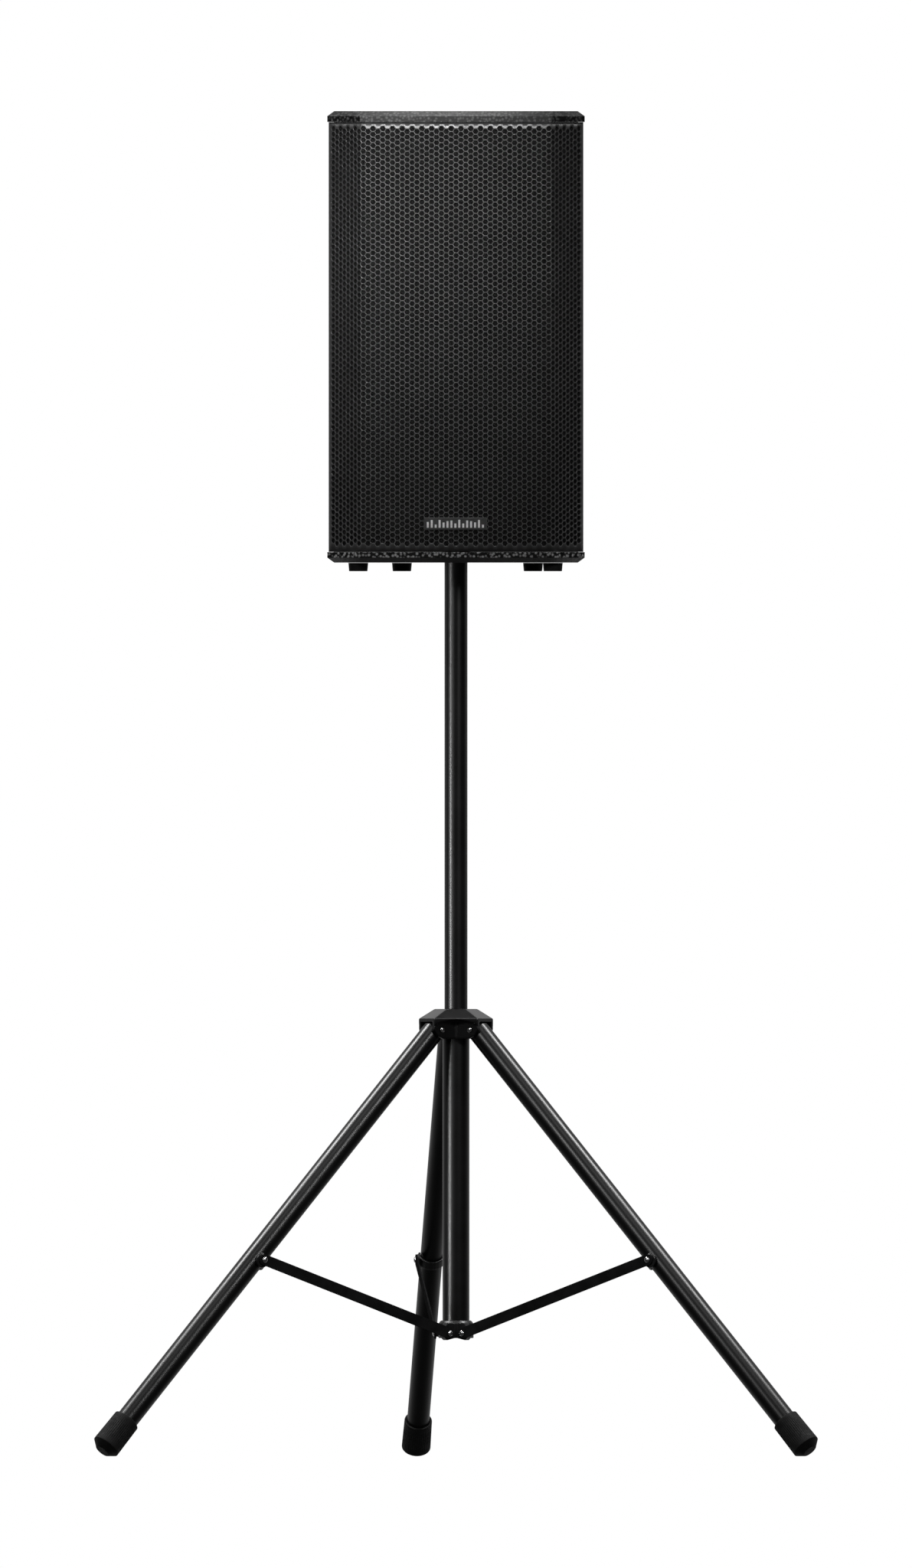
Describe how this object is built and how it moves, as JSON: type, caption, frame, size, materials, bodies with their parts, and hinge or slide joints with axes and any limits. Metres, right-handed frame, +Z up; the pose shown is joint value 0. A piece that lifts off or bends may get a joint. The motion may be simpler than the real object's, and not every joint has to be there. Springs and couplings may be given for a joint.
{
  "type": "pa speaker on tripod stand",
  "caption": "Active two-way loudspeaker with a hexagonal-mesh grille on a telescopic pole, held by a folding tripod stand with a sliding spreader hub.",
  "frame": {"origin": "middle of the footprint, on the floor", "axes": "+Z up along the pole, -Y is the way the speaker faces, +X is to the right seen from the front"},
  "size_m": [1.1024, 0.9578, 2.0498],
  "materials": {
    "powder_coat": "semi-gloss black powder coat",
    "cast_black": "satin black paint on cast and pressed metal",
    "textured_paint": "coarse black textured paint on plywood",
    "grille_paint": "satin black paint on perforated sheet",
    "foam": "matte black open-cell foam",
    "rubber": "matte black moulded rubber",
    "bright_steel": "bright plated steel",
    "black_plastic": "black moulded plastic",
    "badge": "gloss black plate",
    "cone_paper": "coated paper cone",
    "ferrite": "dark ferrite and plated steel",
    "black_aluminium": "black anodised aluminium",
    "circuit_board": "green circuit board"
  },
  "bodies": {
    "column": {"column_tube": "powder_coat", "leg_yoke": "powder_coat", "leg_pin_1": "bright_steel", "leg_pin_2": "bright_steel", "leg_pin_3": "bright_steel"},
    "pole": {"pole_tube": "powder_coat", "pole_end_cap": "black_plastic"},
    "clamp_knob": {"pole_clamp_knob": "black_plastic"},
    "hub": {"spreader_hub": "cast_black", "hub_pin_1": "bright_steel", "hub_pin_2": "bright_steel", "hub_pin_3": "bright_steel"},
    "power_switch": {"power_switch": "black_plastic"},
    "level_knob_1": {"level_knob_1": "black_plastic"},
    "level_knob_2": {"level_knob_2": "black_plastic"},
    "menu_knob": {"menu_knob": "black_plastic"},
    "leg_1": {"leg_tube_1": "powder_coat", "leg_insert_1": "black_plastic", "leg_foot_1": "rubber", "strut_bracket_1": "cast_black"},
    "strut_1": {"strut_1": "powder_coat"},
    "leg_2": {"leg_tube_2": "powder_coat", "leg_insert_2": "black_plastic", "leg_foot_2": "rubber", "strut_bracket_2": "cast_black"},
    "strut_2": {"strut_2": "powder_coat"},
    "leg_3": {"leg_tube_3": "powder_coat", "leg_insert_3": "black_plastic", "leg_foot_3": "rubber", "strut_bracket_3": "cast_black"},
    "strut_3": {"strut_3": "powder_coat"},
    "speaker": {"top_panel": "textured_paint", "bottom_panel": "textured_paint", "right_wall": "textured_paint", "left_wall": "textured_paint", "rear_wall": "textured_paint", "side_handle_right": "black_plastic", "side_handle_left": "black_plastic", "front_baffle": "textured_paint", "woofer_frame": "cast_black", "woofer_cone": "cone_paper", "woofer_magnet": "ferrite", "horn_flare": "black_plastic", "compression_driver": "ferrite", "grille": "grille_paint", "grille_foam": "foam", "badge_plate": "badge", "cabinet_foot_1": "rubber", "cabinet_foot_2": "rubber", "cabinet_foot_3": "rubber", "cabinet_foot_4": "rubber", "pole_socket": "cast_black", "amplifier_plate": "black_aluminium", "heat_sink": "black_aluminium", "amplifier_board": "circuit_board", "input_socket_1": "black_plastic", "input_socket_2": "black_plastic", "link_socket": "black_plastic", "mains_inlet": "black_plastic"}
  },
  "joints": [
    {"name": "pole_slide", "type": "slide", "parent": "column", "child": "pole", "axis": [0, 0, -1], "range_m": [0, 0.33]},
    {"name": "speaker_swivel", "type": "hinge", "parent": "pole", "child": "speaker", "pos_m": [0, -0.15033, 1.3617], "axis": [0, 0, 1], "continuous": true},
    {"name": "clamp_knob_turn", "type": "hinge", "parent": "column", "child": "clamp_knob", "pos_m": [0.03795, -0.12615, 0.652], "axis": [0.8434, 0.5373, 0], "continuous": true},
    {"name": "leg_1_fold", "type": "hinge", "parent": "column", "child": "leg_1", "pos_m": [-0.03291, -0.16933, 0.65], "axis": [0.5, -0.866, 0], "range_deg": [0, 36]},
    {"name": "leg_2_fold", "type": "hinge", "parent": "column", "child": "leg_2", "pos_m": [0.03291, -0.16933, 0.65], "axis": [0.5, 0.866, 0], "range_deg": [0, 36]},
    {"name": "leg_3_fold", "type": "hinge", "parent": "column", "child": "leg_3", "pos_m": [-0.00935, -0.11301, 0.65], "axis": [-0.996, -0.0889, 0], "range_deg": [0, 36]},
    {"name": "hub_slide", "type": "slide", "parent": "column", "child": "hub", "axis": [0, 0, 1], "range_m": [0, 0.335]},
    {"name": "strut_1_hinge", "type": "hinge", "parent": "hub", "child": "strut_1", "pos_m": [-0.02122, -0.16258, 0.1871], "axis": [0.5, -0.866, 0], "range_deg": [0, 98.97]},
    {"name": "strut_2_hinge", "type": "hinge", "parent": "hub", "child": "strut_2", "pos_m": [0.02122, -0.16258, 0.1871], "axis": [0.5, 0.866, 0], "range_deg": [0, 98.97]},
    {"name": "strut_3_hinge", "type": "hinge", "parent": "hub", "child": "strut_3", "pos_m": [-0.00815, -0.12646, 0.1871], "axis": [-0.996, -0.0889, 0], "range_deg": [0, 98.97]},
    {"name": "power_switch_rock", "type": "hinge", "parent": "speaker", "child": "power_switch", "pos_m": [0.0265, 0.04197, 1.448], "axis": [1, 0, 0], "range_deg": [0, 16]},
    {"name": "level_1_turn", "type": "hinge", "parent": "speaker", "child": "level_knob_1", "pos_m": [-0.0335, 0.04297, 1.502], "axis": [0, 1, 0], "range_deg": [-150, 150]},
    {"name": "level_2_turn", "type": "hinge", "parent": "speaker", "child": "level_knob_2", "pos_m": [0.0225, 0.04297, 1.502], "axis": [0, 1, 0], "range_deg": [-150, 150]},
    {"name": "menu_turn", "type": "hinge", "parent": "speaker", "child": "menu_knob", "pos_m": [0.0785, 0.04297, 1.502], "axis": [0, 1, 0], "continuous": true}
  ],
  "couplings": [
    {"joint": "leg_2_fold", "follows": "leg_1_fold", "ratio": 1},
    {"joint": "leg_3_fold", "follows": "leg_1_fold", "ratio": 1},
    {"joint": "hub_slide", "follows": "leg_1_fold", "m_per_rad": 0.53307},
    {"joint": "strut_1_hinge", "follows": "leg_1_fold", "ratio": 2.749},
    {"joint": "strut_2_hinge", "follows": "leg_1_fold", "ratio": 2.749},
    {"joint": "strut_3_hinge", "follows": "leg_1_fold", "ratio": 2.749}
  ]
}
